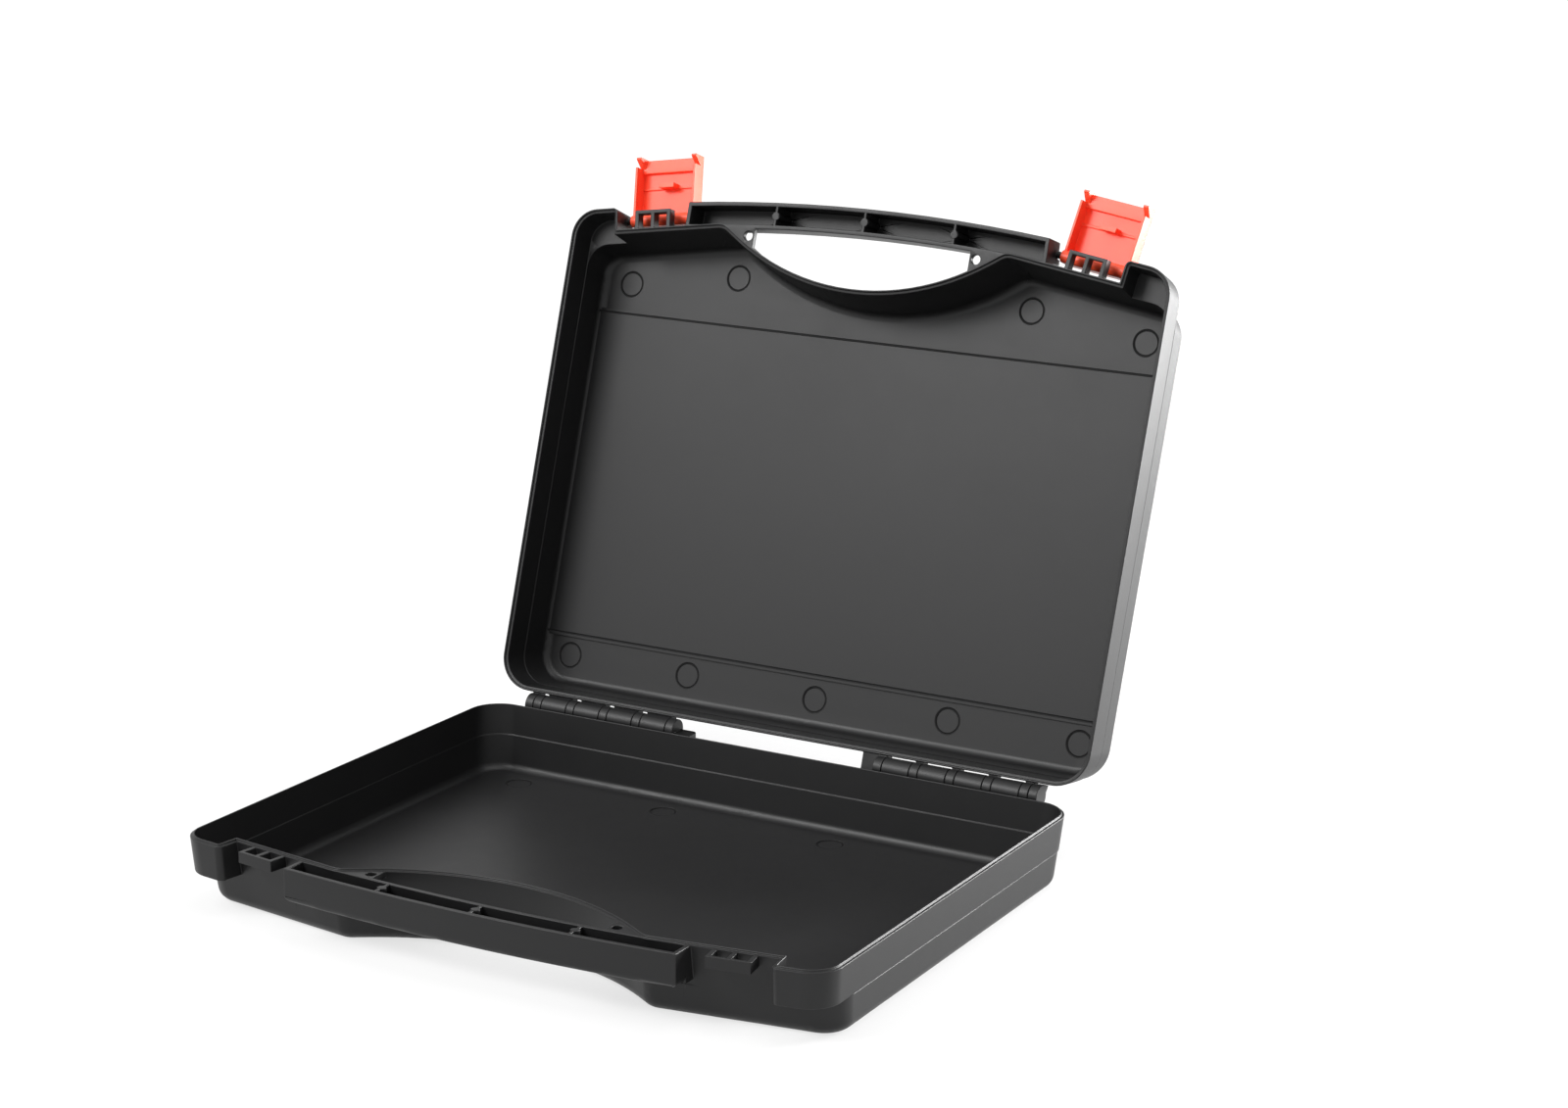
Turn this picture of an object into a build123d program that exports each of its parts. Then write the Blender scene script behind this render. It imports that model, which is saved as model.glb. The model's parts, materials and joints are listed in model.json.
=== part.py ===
from build123d import *
import math
import os

# First aid case of moulded plastic, standing open with its lid leaning back on its stop.
# Two shells share one outline: a base and a lid, joined by two rows of hinge knuckles on steel pins.
# Two clip-on latches turn on bars of the lid and hook under the keepers of the base.
# X runs to the right, Y towards the hinge and Z up, from the middle of the flat underside.
# In a half's own plan, "forward" is the distance in front of the hinge axis.

# Both shells
HALF_DEPTH = 35.5
WALL = 2.2
RIM_GAP = 0.3
HINGE_Y = 130.0
REAR_HALF_WIDTH = 169.0
FRONT_HALF_WIDTH = 171.1
REAR_WALL = 6.35
REAR_CORNER = 18.0
FRONT_CORNER = 15.0
BODY_INSET = 0.4
BAND_DEPTH = 17.2
SIDE_DRAFT = 4.5
REAR_DRAFT = 7.0
FRONT_DRAFT = 10.0
BLOCK_DRAFT = 5.0
BOTTOM_RADIUS = 6.5

# Slanted front wall and the two latch recesses in it, which leave room beside each latch
LATCH_HALF_WIDTH = 18.0
LATCH_SIDE_CLEARANCE = 2.65
CORNER_BLOCK_WIDTH = 27.15
RECESS_WIDTH = 2 * (LATCH_HALF_WIDTH + LATCH_SIDE_CLEARANCE)
LATCH_X = FRONT_HALF_WIDTH - CORNER_BLOCK_WIDTH - RECESS_WIDTH / 2
FRONT_SLANT = 8.43
RECESS_FORWARD = 256.3
RECESS_DEPTH = 11.6
RECESS_EDGE_RADIUS = 3.0

# Curved front wall behind the grip, and how far the upper band reaches back behind it
BELL_RADIUS = 132.0
BELL_FORWARD = 235.7
BELL_FLANK = 33.0
HUMP_RADIUS = 10.2
BAND_BACK = 16.5

# Handle, whose end walls close the inner sides of the recesses
HANDLE_FORWARD = 277.0
HANDLE_RADIUS = 967.0
HANDLE_THICKNESS = 14.0
HANDLE_END_OVERLAP = 0.55
HANDLE_HALF_WIDTH = LATCH_X - RECESS_WIDTH / 2 + HANDLE_END_OVERLAP
HANDLE_DEPTH = 16.5
HANDLE_EDGE_RADIUS = 3.5
GRIP_HALF_WIDTH = 61.6
RIB_PITCH = 51.0
RIB_THICKNESS = 1.5
RIB_BOSS_RADIUS = 2.25
WEB_THICKNESS = 3.0
WEB_REACH = 26.0
PADLOCK_INSET = 3.5
PADLOCK_FORWARD = 257.1
PADLOCK_RADIUS = 2.5

# Ladder frames that the latches clip behind and hook under
LADDER_WIDTH = 21.0
LADDER_SHIFT = 0.5
LADDER_REACH = 9.3
LADDER_RAIL = 1.9
LADDER_LEG = 2.2
LADDER_DEPTH = 5.5
LADDER_ROOT = 0.8

# Rim joint
TONGUE_WIDTH = 0.9
TONGUE_HEIGHT = 1.0
TONGUE_CLEARANCE = 0.3

# Hinge, whose two rows keep their distance from the side walls. Each half has the long knuckles
# in one row and the short ones in the other: the base has the long ones on the right.
LID_ANGLE = 108.16
KNUCKLE_RADIUS = 5.8
KNUCKLE_PITCH = 20.0
KNUCKLE_COUNT = 5
KNUCKLE_ROW_INSET = 29.0
KNUCKLE_FIRST_X = REAR_HALF_WIDTH - KNUCKLE_ROW_INSET - (KNUCKLE_COUNT - 1) * KNUCKLE_PITCH
SHORT_KNUCKLE_WIDTH = 4.6
KNUCKLE_GAP = 0.3
ARM_DROP = 0.4
ARM_ROOT = 0.8
GUSSET_LENGTH = 9.3
GUSSET_BACK = 4.5
GUSSET_CORNER_RADIUS = 2.5
STOP_LUG_WIDTH = 4.7
STOP_LUG_HEIGHT = 7.0
STOP_GAP = 0.3
PIN_RADIUS = 1.2
PIN_PRESS_CLEARANCE = 0.01
PIN_RUNNING_CLEARANCE = 0.06
PIN_END_INSET = 0.8

# Floors, with round marks placed by their distance in from the side and in front of the hinge
PANEL_REAR = 40.0
PANEL_FRONT = 212.5
PANEL_STEP = 1.2
PANEL_MARGIN = 5.6
DISC_RADIUS = 6.5
DISC_DEPTH = 0.3
LID_DISCS = ((20.0, 229.0), (84.0, 238.5), (20.5, 28.0), (93.0, 28.0), (REAR_HALF_WIDTH, 27.0))
BASE_DISCS = ((34.0, 30.0), (121.0, 30.0))

# Latches, in their own frame: along the pivot, away from the pivot, and out to the plate
PIVOT_RADIUS = 1.8
PIVOT_OUT = 6.0
PIVOT_DEPTH = 12.0
PIVOT_ROOT = 1.1
LATCH_TILT = 2.0
BARREL_RADIUS = 3.2
BARREL_CLEARANCE = 0.08
LATCH_WALL = 1.3
LATCH_OUT = 8.9
LATCH_SIDE_IN = 0.4
LATCH_SIDE_LENGTH = 29.4
LIP_START = 26.9
LIP_THICKNESS = 3.4
LATCH_LENGTH = 33.9
EAR_LENGTH = 34.8
EAR_WIDTH = 2.9
EAR_TIP = 1.0
EAR_ROOT = 3.3
HOOK_CLEARANCE = 0.5
HOOK_THICKNESS = 2.4
HOOK_HALF_WIDTH = 4.5
HOOK_TIP = 1.6
RIDGE_HEIGHT = 0.8
RIDGE_WIDTH = 1.2

# Cutting tools start this far above a rim or outside a face
OVERSHOOT = 1.0

SLANT_SIN = math.sin(math.radians(FRONT_SLANT))
SLANT_COS = math.cos(math.radians(FRONT_SLANT))
SLANT_TAN = SLANT_SIN / SLANT_COS


def plan(x, forward):
    """Point of a half's plan, from the distance to the right and the distance in front of the hinge."""
    return (x, -forward)


def front_line(x):
    """Forward distance of the slanted front wall's outer face at the rim."""
    return RECESS_FORWARD - (x - LATCH_X) * SLANT_TAN


def taper(angle, depth):
    """How far a drafted wall has moved in at a depth below the rim."""
    return math.tan(math.radians(angle)) * depth


def nearest_corner(face, point):
    """The corner of a face that lies nearest to a point."""
    return min(face.vertices(), key=lambda corner: (Vector(corner) - Vector(*point)).length)


def rounded(face, corners):
    """A flat face with the given (point, radius) corners rounded, on both sides of the middle."""
    for (x, y), radius in corners:
        for side in (1, -1):
            face = face.fillet_2d(radius, [nearest_corner(face, (side * x, y, 0))])
    return face


def at_depth(shape, depth):
    """A shape moved down to a depth below the rim."""
    return Pos(0, 0, -depth) * shape


def tub_outline(depth, wall):
    """Outline of the tub at a depth below the rim, drawn in by a wall."""
    side = BODY_INSET + taper(SIDE_DRAFT, depth)
    back = taper(FRONT_DRAFT, depth)
    rear = REAR_WALL + BODY_INSET + taper(REAR_DRAFT, depth)
    flank = math.radians(BELL_FLANK)
    foot_x = BELL_RADIUS * math.sin(flank)
    foot = BELL_FORWARD + BELL_RADIUS * (1 - math.cos(flank))
    slope = math.tan(flank)
    hump_x = (front_line(0) - foot + foot_x * slope) / (slope + SLANT_TAN)
    front_x = FRONT_HALF_WIDTH - side
    rear_corner = plan(REAR_HALF_WIDTH - side, rear)
    front_corner = plan(front_x, front_line(front_x) - back)
    hump = plan(hump_x, front_line(hump_x) - back)
    bell_foot = plan(foot_x, foot - back)
    lines = Polyline(plan(0, rear), rear_corner, front_corner, hump, bell_foot).edges()
    mirrored = mirror(lines, about=Plane.YZ).edges()
    bell = ThreePointArc(bell_foot, plan(0, BELL_FORWARD - back), (-bell_foot[0], bell_foot[1]))
    outline = make_face([*lines, *mirrored, bell.edge()]).face()
    outline = rounded(outline, (
        (rear_corner, REAR_CORNER - BODY_INSET),
        (front_corner, FRONT_CORNER - BODY_INSET),
        (hump, HUMP_RADIUS),
    ))
    if wall > 0:
        outline = offset(outline, -wall).face()
    return at_depth(outline, depth)


def band_outline(depth, wall):
    """Outline of the wide upper band with its two corner blocks, drawn in by a wall."""
    side = taper(SIDE_DRAFT, depth)
    back = taper(BLOCK_DRAFT, depth)
    rear = REAR_WALL + taper(REAR_DRAFT, depth)
    mouth_x = LATCH_X + (RECESS_WIDTH / 2) * SLANT_COS
    mouth = front_line(mouth_x)
    lip_x = mouth_x + RECESS_DEPTH * SLANT_SIN
    lip = mouth + RECESS_DEPTH * SLANT_COS
    front_x = FRONT_HALF_WIDTH - side
    inside = BELL_FORWARD - BAND_BACK
    inside_x = mouth_x - (mouth - inside) * SLANT_TAN
    rear_corner = plan(REAR_HALF_WIDTH - side, rear)
    front_corner = plan(front_x, lip - (front_x - lip_x) * SLANT_TAN - back)
    recess_corner = plan(lip_x, lip - back)
    lines = Polyline(
        plan(0, rear), rear_corner, front_corner, recess_corner, plan(inside_x, inside), plan(0, inside),
    ).edges()
    mirrored = mirror(lines, about=Plane.YZ).edges()
    outline = make_face([*lines, *mirrored]).face()
    outline = rounded(outline, (
        (rear_corner, REAR_CORNER),
        (front_corner, FRONT_CORNER),
        (recess_corner, RECESS_EDGE_RADIUS),
    ))
    if wall > 0:
        outline = offset(outline, -wall).face()
    return at_depth(outline, depth)


def between(outline, wall, top, bottom):
    """Drafted solid between an outline at two depths."""
    return Solid.make_loft([outline(top, wall).outer_wire(), outline(bottom, wall).outer_wire()], ruled=True)


def edges_at_depth(solid, depth):
    """Edges that lie flat at a depth below the rim."""
    return [
        edge for edge in solid.edges()
        if abs(edge.bounding_box().min.Z + depth) < 0.01 and abs(edge.bounding_box().max.Z + depth) < 0.01
    ]


def handle_face(front_inset, back_inset, half_width):
    """Plan of the handle between two arcs about one centre, drawn in from its front and its back."""
    centre = plan(0, HANDLE_FORWARD - HANDLE_RADIUS)
    disc = Pos(*centre) * Circle(HANDLE_RADIUS - front_inset)
    inner = Pos(*centre) * Circle(HANDLE_RADIUS - HANDLE_THICKNESS + back_inset)
    sagitta = HANDLE_RADIUS - math.sqrt(HANDLE_RADIUS ** 2 - half_width ** 2)
    strip = Pos(*plan(0, HANDLE_FORWARD)) * Rectangle(2 * half_width, 2 * (HANDLE_THICKNESS + sagitta + OVERSHOOT))
    return ((disc - inner) & strip).face()


def recess_plane(side):
    """Frame of one latch recess at the rim: along the wall, out from it, and down into the half."""
    return Plane(
        origin=(side * LATCH_X, -RECESS_FORWARD, 0),
        x_dir=(SLANT_COS, side * SLANT_SIN, 0),
        z_dir=(0, 0, -1),
    )


def block(x_range, y_range, z_range):
    """Box between two values on each axis."""
    size = [high - low for low, high in (x_range, y_range, z_range)]
    middle = [(high + low) / 2 for low, high in (x_range, y_range, z_range)]
    return Pos(*middle) * Box(*size)


def rod(radius, start, end):
    """Cylinder along X between two values of X, about the hinge axis."""
    return Pos((start + end) / 2, 0, 0) * Rot(0, 90, 0) * Cylinder(radius, abs(end - start))


def ladder(side):
    """Frame of one rail and three legs that stands out from the recess wall."""
    left = LADDER_SHIFT - LADDER_WIDTH / 2
    right = LADDER_SHIFT + LADDER_WIDTH / 2
    depths = (RIM_GAP / 2, LADDER_DEPTH)
    frame = block((left, right), (LADDER_REACH - LADDER_RAIL, LADDER_REACH), depths)
    pitch = (LADDER_WIDTH - LADDER_LEG) / 2
    for index in range(3):
        leg = left + index * pitch
        frame += block((leg, leg + LADDER_LEG), (-LADDER_ROOT, LADDER_REACH), depths)
    return recess_plane(side) * frame


def handle_ribs():
    """Cross ribs of the handle's channel, each with a round boss."""
    ribs = Part()
    middle = HANDLE_RADIUS - HANDLE_THICKNESS / 2
    for index in (-1, 0, 1):
        x = index * RIB_PITCH
        forward = HANDLE_FORWARD - HANDLE_RADIUS + math.sqrt(middle ** 2 - x ** 2)
        reach = HANDLE_THICKNESS / 2 - WALL / 2
        depth = HANDLE_DEPTH - WALL / 2
        rib = block(
            (x - RIB_THICKNESS / 2, x + RIB_THICKNESS / 2),
            (-forward - reach, -forward + reach),
            (-depth, 0),
        )
        boss = Pos(x, -forward, -depth / 2) * Cylinder(RIB_BOSS_RADIUS, depth)
        ribs += rib + boss
    return ribs


def handle_roots():
    """Webs beside the grip with their padlock holes, and the solid stretches that join the bar to the tub."""
    roots = Part()
    for side in (1, -1):
        web_end = GRIP_HALF_WIDTH + WEB_REACH
        web_front = PADLOCK_FORWARD + PADLOCK_RADIUS + WALL
        bar_middle = HANDLE_FORWARD - HANDLE_THICKNESS
        web_x = sorted((side * GRIP_HALF_WIDTH, side * web_end))
        root_x = sorted((side * web_end, side * HANDLE_HALF_WIDTH))
        roots += block(web_x, (-web_front, -BELL_FORWARD), (-WEB_THICKNESS, 0))
        roots += block(root_x, (-bar_middle, -BELL_FORWARD), (-HANDLE_DEPTH, 0))
    return roots


def rim_blank(width, low, high):
    """Upright solid that fills the tub and the inner part of its rim, between two heights."""
    drawn_in = WALL - width
    blank = Part()
    for outline in (tub_outline, band_outline):
        blank += extrude(Pos(0, 0, low) * outline(0, drawn_in), high - low)
    return blank


def shell_half(tongue=None, rebate=None):
    """What the base and the lid have in common, open upwards with the parting plane at zero."""
    tub = between(tub_outline, 0, -OVERSHOOT, HALF_DEPTH)
    whole_tub = tub
    tub = tub.fillet(BOTTOM_RADIUS, edges_at_depth(tub, HALF_DEPTH))
    band = between(band_outline, 0, -OVERSHOOT, BAND_DEPTH)
    tub_room = between(tub_outline, WALL, -2 * OVERSHOOT, HALF_DEPTH - WALL)
    tub_room = tub_room.fillet(BOTTOM_RADIUS - WALL, edges_at_depth(tub_room, HALF_DEPTH - WALL))
    band_room = between(band_outline, WALL, -2 * OVERSHOOT, BAND_DEPTH - WALL)
    bar = at_depth(extrude(handle_face(0, 0, HANDLE_HALF_WIDTH), OVERSHOOT + HANDLE_DEPTH), HANDLE_DEPTH)
    bar = bar.solid().fillet(HANDLE_EDGE_RADIUS, edges_at_depth(bar, HANDLE_DEPTH))
    channel = at_depth(
        extrude(handle_face(WALL, WALL, HANDLE_HALF_WIDTH - WALL), 2 * OVERSHOOT + HANDLE_DEPTH - WALL),
        HANDLE_DEPTH - WALL,
    )
    body = Part() + tub + band + bar
    body += handle_roots()
    body -= channel - whole_tub
    body += handle_ribs() - whole_tub
    everywhere = 2 * FRONT_HALF_WIDTH
    body -= block((-everywhere, everywhere), (-everywhere, everywhere), (-RIM_GAP / 2, 2 * OVERSHOOT))
    if tongue:
        body += tongue
    for side in (1, -1):
        body += ladder(side)
    body -= Part() + tub_room + band_room
    if rebate:
        body -= rebate
    for side in (1, -1):
        place = plan(side * (GRIP_HALF_WIDTH + PADLOCK_INSET), PADLOCK_FORWARD)
        body -= Pos(*place) * Cylinder(PADLOCK_RADIUS, 2 * (WEB_THICKNESS + OVERSHOOT))
    return body


def short_knuckles():
    """Spans along X of the short knuckles of a right-hand row."""
    spans = []
    for index in range(KNUCKLE_COUNT):
        centre = KNUCKLE_FIRST_X + index * KNUCKLE_PITCH
        spans.append((centre - SHORT_KNUCKLE_WIDTH / 2, centre + SHORT_KNUCKLE_WIDTH / 2))
    return spans


def long_knuckles():
    """Spans along X of the long knuckles, which fill the room between the short ones."""
    spans = short_knuckles()
    return [(spans[i][1] + KNUCKLE_GAP, spans[i + 1][0] - KNUCKLE_GAP) for i in range(len(spans) - 1)]


def knuckle(start, end):
    """Barrel on the hinge axis with an arm to the rear wall, for a half that opens upwards."""
    arm = block((start, end), (-REAR_WALL - ARM_ROOT, 0), (-KNUCKLE_RADIUS, -ARM_DROP))
    return rod(KNUCKLE_RADIUS, start, end) + arm


def stop_lug(start, end):
    """Outermost long knuckle, with a sloped nose behind it that the open lid leans on."""
    lean = math.radians(LID_ANGLE)
    reach = REAR_WALL - STOP_GAP
    seat = (-math.cos(lean) * reach, math.sin(lean) * reach)
    tip = (seat[0] + math.sin(lean) * STOP_LUG_HEIGHT, seat[1] + math.cos(lean) * STOP_LUG_HEIGHT)
    outline = Polyline((0, -KNUCKLE_RADIUS), tip, seat, (0, 0), close=True)
    nose = extrude(make_face(Plane.YZ * outline), end - start, dir=(1, 0, 0))
    return knuckle(start, end) + Pos(start, 0, 0) * nose


def gusset(end):
    """Flat web that carries on inwards from the innermost short knuckle of a row."""
    far = end - GUSSET_LENGTH
    root = REAR_WALL + ARM_ROOT
    back = -GUSSET_BACK
    web = make_face(Polyline(plan(end, root), plan(far, root), plan(far, back), plan(end, back), close=True)).face()
    web = web.fillet_2d(GUSSET_CORNER_RADIUS, [nearest_corner(web, (*plan(far, back), 0))])
    return at_depth(extrude(web, KNUCKLE_RADIUS - ARM_DROP), KNUCKLE_RADIUS)


def to_left(shape):
    """Mirror image of a right-hand shape on the left."""
    return mirror(shape, about=Plane.YZ)


def floor_discs(places):
    """Shallow round marks in a floor."""
    discs = Part()
    for inset, forward in places:
        for side in (1, -1):
            spot = plan(side * (REAR_HALF_WIDTH - inset), forward)
            discs += Pos(*spot, -(HALF_DEPTH - WALL)) * Cylinder(DISC_RADIUS, 2 * DISC_DEPTH)
    return discs


def lug_span():
    """Span along X of the right-hand stop lug."""
    start = short_knuckles()[-1][1] + KNUCKLE_GAP
    return start, start + STOP_LUG_WIDTH


def pin_span():
    """Span along X of the right-hand hinge pin, which ends inside the stop lug."""
    return short_knuckles()[0][0] + PIN_END_INSET, lug_span()[1] - PIN_END_INSET


def long_row():
    """Right-hand row of long knuckles and the stop lug, which grip the pin."""
    row = stop_lug(*lug_span())
    for start, end in long_knuckles():
        row += knuckle(start, end)
    return row - rod(PIN_RADIUS + PIN_PRESS_CLEARANCE, *pin_span())


def short_row():
    """Right-hand row of short knuckles and the gusset, which turn on the pin."""
    spans = short_knuckles()
    row = gusset(spans[0][0])
    for start, end in spans:
        row += knuckle(start, end)
    return row - rod(PIN_RADIUS + PIN_RUNNING_CLEARANCE, pin_span()[0] - PIN_END_INSET / 2, pin_span()[1])


def base_shell():
    """Base: the common half with the rim tongue, the long knuckles on the right and the short on the left."""
    shell = shell_half(tongue=rim_blank(TONGUE_WIDTH, -OVERSHOOT, TONGUE_HEIGHT - RIM_GAP / 2))
    shell += long_row()
    shell += to_left(short_row())
    shell -= floor_discs(BASE_DISCS)
    return shell


def pivot_bar(side):
    """Round bar across a recess of the lid, which a latch turns on."""
    reach = RECESS_WIDTH / 2 + PIVOT_ROOT
    bar = Rot(0, 90, 0) * Cylinder(PIVOT_RADIUS, 2 * reach)
    return recess_plane(side) * Pos(0, PIVOT_OUT, PIVOT_DEPTH) * bar


def panel_block(half_width, overlap, depth):
    """Block over the lid's sunk middle panel, one step thick, with its outer side at a depth."""
    return block(
        (-half_width, half_width),
        (-PANEL_FRONT - overlap, -PANEL_REAR + overlap),
        (-depth, -depth + PANEL_STEP),
    )


def lid_half():
    """Lid, open upwards like the base: the common half with its panel, knuckles and pivot bars."""
    rebate_depth = TONGUE_HEIGHT + TONGUE_CLEARANCE
    shell = shell_half(rebate=rim_blank(TONGUE_WIDTH + TONGUE_CLEARANCE, -rebate_depth, OVERSHOOT))
    shell -= panel_block(REAR_HALF_WIDTH - BODY_INSET - BOTTOM_RADIUS - PANEL_MARGIN, 0, HALF_DEPTH)
    inner_floor = extrude(tub_outline(HALF_DEPTH, WALL), HALF_DEPTH)
    shell += inner_floor & panel_block(FRONT_HALF_WIDTH, WALL, HALF_DEPTH - WALL)
    shell += short_row()
    shell += to_left(long_row())
    for side in (1, -1):
        shell += pivot_bar(side)
    shell -= floor_discs(LID_DISCS)
    return shell


def latch():
    """Latch in its own frame: X along the pivot, Y away from it and Z out to the plate."""
    back = -BARREL_RADIUS
    inside = LATCH_HALF_WIDTH - LATCH_WALL
    plate_in = LATCH_OUT - LATCH_WALL
    hook = PIVOT_DEPTH + LADDER_DEPTH + HOOK_CLEARANCE
    everywhere = (-LATCH_HALF_WIDTH, LATCH_HALF_WIDTH)
    body = block(everywhere, (back, LATCH_SIDE_LENGTH), (-LATCH_SIDE_IN, LATCH_OUT))
    body -= block((-inside, inside), (back + LATCH_WALL, LATCH_LENGTH), (-OVERSHOOT, plate_in))
    body -= block(everywhere, (back - OVERSHOOT, back + LATCH_WALL), (-OVERSHOOT, 0))
    body += Rot(0, 90, 0) * Cylinder(BARREL_RADIUS, 2 * LATCH_HALF_WIDTH)
    body += block(everywhere, (LATCH_SIDE_LENGTH - LATCH_WALL, LATCH_LENGTH), (plate_in, LATCH_OUT))
    body += block((-inside, inside), (LIP_START, LATCH_LENGTH), (LATCH_OUT - LIP_THICKNESS, LATCH_OUT))
    ear_outline = Polyline(
        (EAR_LENGTH, LATCH_OUT), (EAR_LENGTH, 0), (EAR_LENGTH - EAR_TIP, 0),
        (LATCH_SIDE_LENGTH, LATCH_OUT - EAR_ROOT), (LATCH_SIDE_LENGTH, LATCH_OUT), close=True,
    )
    ear = extrude(make_face(Plane.YZ * ear_outline), EAR_WIDTH, dir=(1, 0, 0))
    body += Pos(LATCH_HALF_WIDTH - EAR_WIDTH, 0, 0) * ear
    body += Pos(-LATCH_HALF_WIDTH, 0, 0) * ear
    body += block((-HOOK_HALF_WIDTH, HOOK_HALF_WIDTH), (hook, hook + HOOK_THICKNESS), (HOOK_TIP, LATCH_OUT))
    body += block((-inside, inside), (hook, hook + RIDGE_WIDTH), (plate_in - RIDGE_HEIGHT, LATCH_OUT))
    body -= Rot(0, 90, 0) * Cylinder(PIVOT_RADIUS + BARREL_CLEARANCE, 2 * (LATCH_HALF_WIDTH + OVERSHOOT))
    return body


def placed_latch(side):
    """Latch on its bar in a lid that opens upwards, tilted as it stands when open."""
    return recess_plane(side) * Pos(0, PIVOT_OUT, PIVOT_DEPTH) * Rot(LATCH_TILT, 0, 0) * latch()


def hinge_pin(side):
    """Steel wire through one row of knuckles."""
    start, end = pin_span()
    return rod(PIN_RADIUS, side * start, side * end)


def on_case(shape):
    """A shape of a half's own frame, moved so that its hinge axis is the case's hinge axis."""
    return Pos(0, HINGE_Y, HALF_DEPTH) * shape


def on_lid(shape):
    """A shape of a lid that opens upwards, turned over and swung back to its stop."""
    return on_case(Rot(-LID_ANGLE, 0, 0) * mirror(shape, about=Plane.XY))


def write(name, shape):
    """Save one piece under its name."""
    solids = shape.solids()
    print(name, len(solids), "solid,", round(shape.volume / 1000, 2), "cm3")
    piece = solids[0] if len(solids) == 1 else Compound(children=solids)
    export_step(piece, f"parts/{name}.step")


os.makedirs("parts", exist_ok=True)
write("base_shell", on_case(base_shell()))
write("lid_shell", on_lid(lid_half()))
write("hinge_pin_left", on_case(hinge_pin(-1)))
write("hinge_pin_right", on_case(hinge_pin(1)))
write("latch_left", on_lid(placed_latch(-1)))
write("latch_right", on_lid(placed_latch(1)))
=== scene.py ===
import json
import math

import bmesh
import bpy
from mathutils import Matrix, Vector


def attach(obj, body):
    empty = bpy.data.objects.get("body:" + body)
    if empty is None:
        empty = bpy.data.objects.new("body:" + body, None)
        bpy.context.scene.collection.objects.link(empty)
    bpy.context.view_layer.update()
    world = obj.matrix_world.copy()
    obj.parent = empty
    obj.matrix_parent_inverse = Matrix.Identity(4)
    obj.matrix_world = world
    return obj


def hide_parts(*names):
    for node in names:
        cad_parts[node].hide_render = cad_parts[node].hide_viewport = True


# First aid case of moulded plastic, standing open on a pale floor.
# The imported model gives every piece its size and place; this script gives each its finish.
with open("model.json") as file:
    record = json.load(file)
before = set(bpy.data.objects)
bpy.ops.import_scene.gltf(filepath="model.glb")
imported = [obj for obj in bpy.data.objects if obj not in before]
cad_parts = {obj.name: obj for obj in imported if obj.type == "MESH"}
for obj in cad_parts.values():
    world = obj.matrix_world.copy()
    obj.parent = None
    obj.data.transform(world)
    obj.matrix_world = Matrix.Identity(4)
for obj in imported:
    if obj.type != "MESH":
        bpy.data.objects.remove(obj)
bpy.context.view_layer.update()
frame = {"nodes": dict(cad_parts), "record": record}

# Base shell
# The lower half of the case: one injection moulding in black polypropylene with a fine satin grain.
# The mould leaves a small rounding on its sharp edges and round marks in its floor.
WELD_DISTANCE = 2e-6
SHARP_ANGLE = math.radians(32.0)
SHELL_EDGE_RADIUS = 0.00035
FLOOR_TOP = 0.0315
FLOOR_BOTTOM = 0.0339
FLOOR_BLUR = 0.0002
RING_RADIUS = 0.0065
GROOVE_CORE = 0.00022
GROOVE_EDGE = 0.00062
GROOVE_DEPTH = 0.0004
GRAIN_DEPTH = 0.00012
# Painted shade: a near-black colour laid into the floor's grooves and ring marks stands for the shadow
# inside them.
GROOVE_SHADE_TINT = (0.0015, 0.0015, 0.0016, 1.0)
DARKER_TINT = (0.0060, 0.0060, 0.0063, 1.0)
LIGHTER_TINT = (0.0095, 0.0095, 0.0099, 1.0)
SATIN = 0.36
CLOUD_DULLING = 0.10
SMEAR_DULLING = 0.05
GROOVE_DULLING = 0.30
hinge = frame["record"]["behaviour"]["joints"][0]
axle = Vector(hinge["pos_m"])


class Wire:
    """A shader socket that takes part in arithmetic, adding Math nodes to its tree."""

    def __init__(self, tree, socket):
        self.tree = tree
        self.socket = socket

    def math(self, operation, other=None, flip=False):
        """One Math node on this wire alone, or on it and another wire or number."""
        node = self.tree.nodes.new("ShaderNodeMath")
        node.operation = operation
        operands = [self] if other is None else [self, other]
        if flip:
            operands.reverse()
        for place, operand in enumerate(operands):
            if isinstance(operand, Wire):
                self.tree.links.new(operand.socket, node.inputs[place])
            else:
                node.inputs[place].default_value = operand
        return Wire(self.tree, node.outputs[0])

    def __add__(self, other):
        return self.math("ADD", other)

    def __sub__(self, other):
        return self.math("SUBTRACT", other)

    def __mul__(self, other):
        return self.math("MULTIPLY", other)

    __radd__ = __add__
    __rmul__ = __mul__

    def __rsub__(self, other):
        return self.math("SUBTRACT", other, flip=True)


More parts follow.
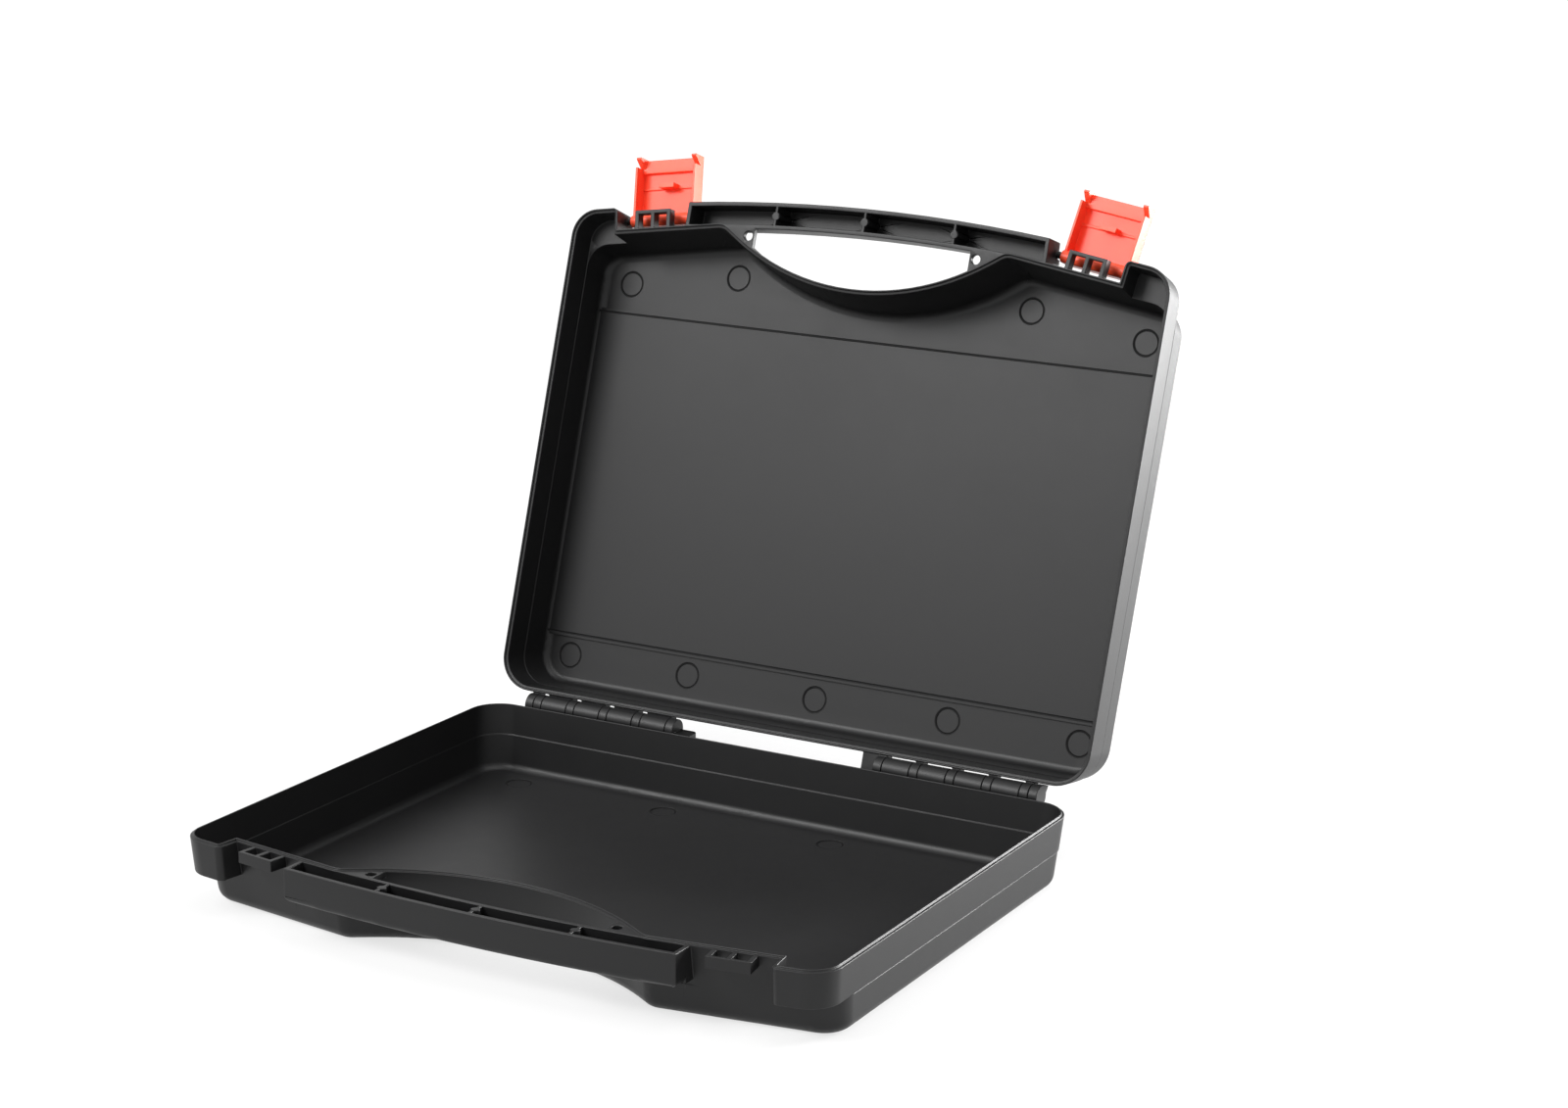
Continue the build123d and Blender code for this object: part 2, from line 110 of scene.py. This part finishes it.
class Finish:
    """The shader nodes of a material or of the world, with one method that adds any node."""

    def __init__(self, owner):
        owner.use_nodes = True
        self.owner = owner
        self.tree = owner.node_tree

    def node(self, kind, sockets=None, output=0, **settings):
        """Adds a node, applies its settings, then fills its sockets with values or wires."""
        node = self.tree.nodes.new(kind)
        for key, value in settings.items():
            setattr(node, key, value)
        for key, value in (sockets or {}).items():
            self.fill(node.inputs[key], value)
        return Wire(self.tree, node.outputs[output])

    def fill(self, socket, value):
        if isinstance(value, Wire):
            self.tree.links.new(value.socket, socket)
        else:
            socket.default_value = value

    def surface(self, **sockets):
        """Fills the Principled shader; an underscore in a name stands for a space."""
        shader = self.tree.nodes["Principled BSDF"]
        for key, value in sockets.items():
            self.fill(shader.inputs[key.replace("_", " ")], value)

    def place(self):
        """Position on the piece."""
        return self.node("ShaderNodeTexCoord", output="Object")

    def noise(self, scale, detail, roughness=0.5):
        """Even noise over the piece, from 0 to 1."""
        return self.node("ShaderNodeTexNoise", {
            "Vector": self.place(), "Scale": scale, "Detail": detail, "Roughness": roughness,
        })

    def blend(self, factor, first, second):
        """Mixes two colours, each a value or a wire."""
        return self.node("ShaderNodeMix", {"Factor": factor, 6: first, 7: second}, 2, data_type="RGBA")

    def ramp(self, wire, start, end, before, after):
        """A value that goes from before to after while the wire goes from start to end."""
        return self.node("ShaderNodeMapRange", {
            "Value": wire, "From Min": start, "From Max": end, "To Min": before, "To Max": after,
        })

    def measure(self, direction):
        """Distance from the hinge axis along a direction."""
        along = self.node(
            "ShaderNodeVectorMath", {0: self.place(), 1: direction}, "Value", operation="DOT_PRODUCT",
        )
        return along - axle.dot(direction)

    def line(self, distance):
        """One where a distance is nearly zero, and zero away from it."""
        return self.ramp(distance.math("ABSOLUTE"), GROOVE_CORE, GROOVE_EDGE, 1.0, 0.0)


def shell_plastic(name, down, forward, lines, rings):
    """Black polypropylene: satin grain, slow drifts of gloss, flow marks and fine grooves in the floor, the
    grooves darkened with painted shade.

    Down and forward are the shell's own directions, from its rim to its floor and from its hinge to
    its handle. A line is a distance in front of the hinge, and a ring is a distance from the middle
    and one in front of the hinge.
    """
    finish = Finish(bpy.data.materials.new(name))
    grain = finish.noise(scale=2600.0, detail=2.0, roughness=0.6)
    cloud = finish.noise(scale=14.0, detail=3.0, roughness=0.55)
    smear = finish.noise(scale=90.0, detail=4.0, roughness=0.6)
    across = finish.node("ShaderNodeSeparateXYZ", {"Vector": finish.place()}).math("ABSOLUTE")
    front = finish.measure(forward)
    depth = finish.measure(down)
    groove = 0.0
    for distance in lines:
        groove = finish.line(front - distance).math("MAXIMUM", groove)
    for side, distance in rings:
        wide = across - side
        high = front - distance
        radius = (wide * wide + high * high).math("SQRT")
        groove = finish.line(radius - RING_RADIUS).math("MAXIMUM", groove)
    groove = groove * finish.ramp(depth, FLOOR_TOP - FLOOR_BLUR, FLOOR_TOP + FLOOR_BLUR, 0.0, 1.0)
    groove = groove * finish.ramp(depth, FLOOR_BOTTOM - FLOOR_BLUR, FLOOR_BOTTOM + FLOOR_BLUR, 1.0, 0.0)
    carved = finish.node("ShaderNodeBump", {
        "Strength": 1.0, "Distance": GROOVE_DEPTH, "Height": 1.0 - groove,
    })
    grained = finish.node("ShaderNodeBump", {
        "Strength": 0.22, "Distance": GRAIN_DEPTH, "Height": grain, "Normal": carved,
    })
    finish.surface(
        # The darker and lighter tints drift at random; in the grooves and ring marks the colour turns to
        # painted shade.
        Base_Color=finish.blend(groove, finish.blend(cloud, DARKER_TINT, LIGHTER_TINT), GROOVE_SHADE_TINT),
        Roughness=SATIN + cloud * CLOUD_DULLING + smear * SMEAR_DULLING + groove * GROOVE_DULLING,
        Normal=grained,
        IOR=1.5,
        Specular_IOR_Level=0.34,
    )
    return finish.owner


def in_floor(edge, down):
    """Whether an edge of a shell belongs to the shallow marks and steps of its floor."""
    depths = [(end.co - axle).dot(down) for end in edge.verts]
    return FLOOR_TOP < min(depths) and max(depths) < FLOOR_BOTTOM


def moulded(node, name, body, material, radius, down=None):
    """A copy of a CAD solid with its sharp edges rounded, which stands for that solid.

    A shell says which way is down into it, so that the marks of its floor stay crisp.
    """
    shape = bmesh.new()
    shape.from_mesh(frame["nodes"][node].data)
    bmesh.ops.remove_doubles(shape, verts=shape.verts, dist=WELD_DISTANCE)
    weight = shape.edges.layers.float.new("bevel_weight_edge")
    for face in shape.faces:
        face.smooth = True
    for edge in shape.edges:
        if edge.calc_face_angle(0.0) <= SHARP_ANGLE:
            continue
        if down and in_floor(edge, down):
            edge.smooth = False
        else:
            edge[weight] = 1.0
    mesh = bpy.data.meshes.new(name)
    shape.to_mesh(mesh)
    shape.free()
    piece = bpy.data.objects.new(name, mesh)
    bpy.context.scene.collection.objects.link(piece)
    bevel = piece.modifiers.new("rounding", "BEVEL")
    bevel.width = radius
    bevel.segments = 2
    bevel.limit_method = "WEIGHT"
    bevel.use_clamp_overlap = False
    flow = piece.modifiers.new("even_shading", "WEIGHTED_NORMAL")
    flow.mode = "FACE_AREA"
    flow.weight = 100
    flow.keep_sharp = True
    mesh.materials.append(material)
    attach(piece, body)
    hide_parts(node)


base_down = Vector((0.0, 0.0, -1.0))
base_forward = Vector((0.0, -1.0, 0.0))
base_rings = ((0.135, 0.030), (0.048, 0.030))
black = shell_plastic("black_base_plastic", base_down, base_forward, (), base_rings)
moulded("base_shell", "base_moulding", "base", black, SHELL_EDGE_RADIUS, base_down)

# Lid shell
# The upper half: a moulding in the same black plastic, with a middle panel one step further in and
# two bars that the latches turn on. It stands open, leaning back on the stop lugs of the hinge.
lean = math.radians(hinge["range_deg"][1])
lid_down = Vector((0.0, math.sin(lean), math.cos(lean)))
lid_forward = Vector((0.0, -math.cos(lean), math.sin(lean)))
panel_lines = (0.2129, 0.0396)
lid_rings = ((0.149, 0.229), (0.085, 0.2385), (0.1485, 0.028), (0.076, 0.028), (0.0, 0.027))
black = shell_plastic("black_lid_plastic", lid_down, lid_forward, panel_lines, lid_rings)
moulded("lid_shell", "lid_moulding", "lid", black, SHELL_EDGE_RADIUS, lid_down)

# Hinge pins
# Two drawn steel wires inside the two rows of knuckles. The long knuckles of a row grip its wire and
# the short ones turn on it, so the left wire moves with the lid and the right one stays in the base.
PIN_EDGE_RADIUS = 0.0002
steel = Finish(bpy.data.materials.new("drawn_steel_wire"))
drawing_lines = steel.noise(scale=900.0, detail=2.0)
steel.surface(
    Base_Color=(0.55, 0.55, 0.56, 1.0),
    Metallic=1.0,
    Roughness=0.25 + drawing_lines * 0.15,
)
for side, body in (("left", "lid"), ("right", "base")):
    moulded(f"hinge_pin_{side}", f"hinge_wire_{side}", body, steel.owner, PIN_EDGE_RADIUS)

# Latches
# Two clips in orange-red plastic, slightly glossy, that snap over the bars of the lid.
# Light shines a little way into their thin walls.
LATCH_EDGE_RADIUS = 0.00022
red = Finish(bpy.data.materials.new("orange_red_latch_plastic"))
cloud = red.noise(scale=60.0, detail=2.0)
grain = red.noise(scale=1800.0, detail=1.0)
red.surface(
    Base_Color=red.blend(cloud, (1.0, 0.080, 0.032, 1.0), (1.0, 0.118, 0.050, 1.0)),
    Roughness=0.30 + cloud * 0.08,
    Normal=red.node("ShaderNodeBump", {"Strength": 0.12, "Distance": 0.0001, "Height": grain}),
    Subsurface_Weight=0.18,
    Subsurface_Radius=(0.004, 0.0012, 0.0006),
    Subsurface_Scale=1.0,
    IOR=1.48,
    Specular_IOR_Level=0.35,
)
for side in ("left", "right"):
    moulded(
        f"latch_{side}", f"latch_clip_{side}", f"latch_{side}", red.owner, LATCH_EDGE_RADIUS,
    )

# Floor
# A plain pale sweep under the case that looks white. It glows less near the case than further out,
# so that it keeps the soft shadow.
FLOOR_REACH = 6.0
GLOW = 1.08
SHADOW_NEAR = 0.30
SHADOW_FAR = 0.90
SHADOW_GLOW_SHARE = 0.66


def seen_by(finish, *rays):
    """One for the named kinds of rays, and zero for the others."""
    seen = 0.0
    for ray in rays:
        seen = seen + finish.node("ShaderNodeLightPath", output=f"Is {ray} Ray")
    return seen.math("MINIMUM", 1.0)


floor_mesh = bpy.data.meshes.new("floor")
floor_mesh.from_pydata([
    (-FLOOR_REACH, -FLOOR_REACH, 0), (FLOOR_REACH, -FLOOR_REACH, 0),
    (FLOOR_REACH, FLOOR_REACH, 0), (-FLOOR_REACH, FLOOR_REACH, 0),
], [], [(0, 1, 2, 3)])
floor = bpy.data.objects.new("floor", floor_mesh)
bpy.context.scene.collection.objects.link(floor)
pale = Finish(bpy.data.materials.new("pale_floor"))
pale.surface(Base_Color=(0.86, 0.86, 0.86, 1.0), Roughness=0.9, Specular_IOR_Level=0.0)
lit = Wire(pale.tree, pale.tree.nodes["Principled BSDF"].outputs[0])
glow = pale.node("ShaderNodeEmission", {"Strength": GLOW})
away = pale.node("ShaderNodeVectorMath", {0: pale.place()}, "Value", operation="LENGTH")
share = seen_by(pale, "Camera", "Glossy") * pale.ramp(away, SHADOW_NEAR, SHADOW_FAR, SHADOW_GLOW_SHARE, 1.0)
pale.fill(
    pale.tree.nodes["Material Output"].inputs["Surface"],
    pale.node("ShaderNodeMixShader", {0: share, 1: lit, 2: glow}),
)
floor_mesh.materials.append(pale.owner)

# Light
# A white room, dimmer as a light than as a background. Soft boxes stand at the front left and overhead,
# a second one at the front left gives the black plastic its sheen, and a low one behind on the right
# lights the side of the lid.
AMBIENT = 0.34
world = bpy.data.worlds.new("studio")
bpy.context.scene.world = world
room = Finish(world)
backdrop = room.tree.nodes["Background"]
seen = seen_by(room, "Camera", "Transmission", "Glossy")
room.fill(backdrop.inputs["Color"], (1.0, 1.0, 1.0, 1.0))
room.fill(backdrop.inputs["Strength"], room.ramp(seen, 0.0, 1.0, AMBIENT, 1.0))


def soft_box(name, place, target, size, watts):
    """An area lamp that points at a target."""
    data = bpy.data.lights.new(name, "AREA")
    data.shape = "RECTANGLE"
    data.size, data.size_y = size
    data.energy = watts
    lamp = bpy.data.objects.new(name, data)
    lamp.location = place
    lamp.rotation_euler = (Vector(target) - Vector(place)).to_track_quat("-Z", "Y").to_euler()
    bpy.context.scene.collection.objects.link(lamp)


soft_box("key_box", (-0.9, -1.1, 1.7), target=(0.0, 0.0, 0.1), size=(1.2, 1.2), watts=18.0)
soft_box("top_box", (0.3, 0.2, 1.9), target=(0.0, 0.1, 0.0), size=(1.4, 1.0), watts=10.0)
soft_box("front_sheen", (-0.95, -1.45, 1.45), target=(0.0, 0.18, 0.2), size=(1.0, 0.6), watts=26.0)
soft_box("rim_strip", (0.75, 0.95, 0.28), target=(0.17, 0.2, 0.15), size=(0.5, 0.5), watts=32.0)

# Camera
# The viewing angle of the photograph, solved from the corners of the case: a long lens above the
# front right.
lens_mm = 79.71
sensor_mm = 36.0
azimuth = math.radians(28.89)
elevation = math.radians(14.53)
roll = math.radians(0.84)
distance = 1.58861
look = Vector((0.0665, 0.0150, 0.17139))
back = Vector((
    math.sin(azimuth) * math.cos(elevation),
    -math.cos(azimuth) * math.cos(elevation),
    math.sin(elevation),
))
level_right = Vector((math.cos(azimuth), math.sin(azimuth), 0.0))
level_up = back.cross(level_right)
right = level_right * math.cos(roll) + level_up * math.sin(roll)
up = back.cross(right)
eye = look + back * distance
camera_data = bpy.data.cameras.new("camera")
camera_data.lens = lens_mm
camera_data.sensor_width = sensor_mm
camera_data.sensor_fit = "HORIZONTAL"
camera = bpy.data.objects.new("camera", camera_data)
camera.matrix_world = Matrix((
    (right.x, up.x, back.x, eye.x),
    (right.y, up.y, back.y, eye.y),
    (right.z, up.z, back.z, eye.z),
    (0.0, 0.0, 0.0, 1.0),
))
bpy.context.scene.collection.objects.link(camera)
bpy.context.scene.camera = camera
bpy.context.scene.view_settings.view_transform = "Standard"
